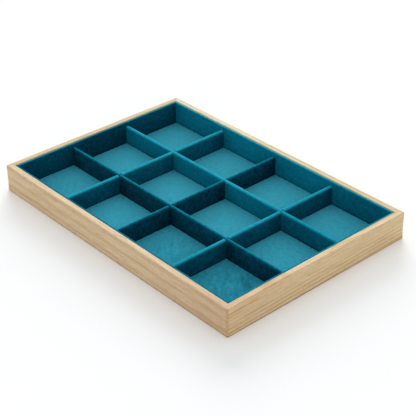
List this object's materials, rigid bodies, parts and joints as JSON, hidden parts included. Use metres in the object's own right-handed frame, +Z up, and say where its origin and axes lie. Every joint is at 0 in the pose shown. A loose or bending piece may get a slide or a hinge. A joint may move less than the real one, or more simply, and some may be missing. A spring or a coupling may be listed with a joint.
{
  "type": "compartment display tray",
  "caption": "Flat open display tray: a mitred wooden frame with a velvet-lined floor and walls, and a velvet-covered grid of dividers that makes equal open compartments.",
  "frame": {"origin": "middle of the flat underside, on the surface that the tray stands on", "axes": "+Z up out of the open top, +X along the long sides, +Y along the short sides, from rail_front to rail_back"},
  "size_m": [0.35, 0.24, 0.031],
  "materials": {
    "pale_wood": "pale straight-grained solid wood, sanded, thin satin lacquer",
    "tongue_wood": "plain thin hardwood tongue, unfinished",
    "panel_fibre": "thin brown hardboard, smooth face",
    "grey_card": "dense grey card, matte",
    "teal_velvet": "short-pile blue-green velvet with a soft sheen",
    "bright_steel": "plain bright wire brad"
  },
  "bodies": {
    "root": {"rail_front": "pale_wood", "rail_right": "pale_wood", "rail_back": "pale_wood", "rail_left": "pale_wood", "corner_spline_front_left": "tongue_wood", "corner_spline_front_right": "tongue_wood", "corner_spline_back_left": "tongue_wood", "corner_spline_back_right": "tongue_wood", "base_panel": "panel_fibre", "base_brad_01": "bright_steel", "base_brad_02": "bright_steel", "base_brad_03": "bright_steel", "base_brad_04": "bright_steel", "base_brad_05": "bright_steel", "base_brad_06": "bright_steel", "base_brad_07": "bright_steel", "base_brad_08": "bright_steel", "base_brad_09": "bright_steel", "base_brad_10": "bright_steel", "floor_board": "grey_card", "liner_board_front": "grey_card", "liner_board_right": "grey_card", "liner_board_back": "grey_card", "liner_board_left": "grey_card", "long_divider_board_1": "grey_card", "long_divider_board_2": "grey_card", "cross_divider_board_1": "grey_card", "cross_divider_board_2": "grey_card", "cross_divider_board_3": "grey_card", "floor_velvet": "teal_velvet", "liner_velvet_front": "teal_velvet", "liner_velvet_right": "teal_velvet", "liner_velvet_back": "teal_velvet", "liner_velvet_left": "teal_velvet", "long_divider_velvet_1": "teal_velvet", "long_divider_velvet_2": "teal_velvet", "cross_divider_velvet_1": "teal_velvet", "cross_divider_velvet_2": "teal_velvet", "cross_divider_velvet_3": "teal_velvet"}
  },
  "joints": []
}
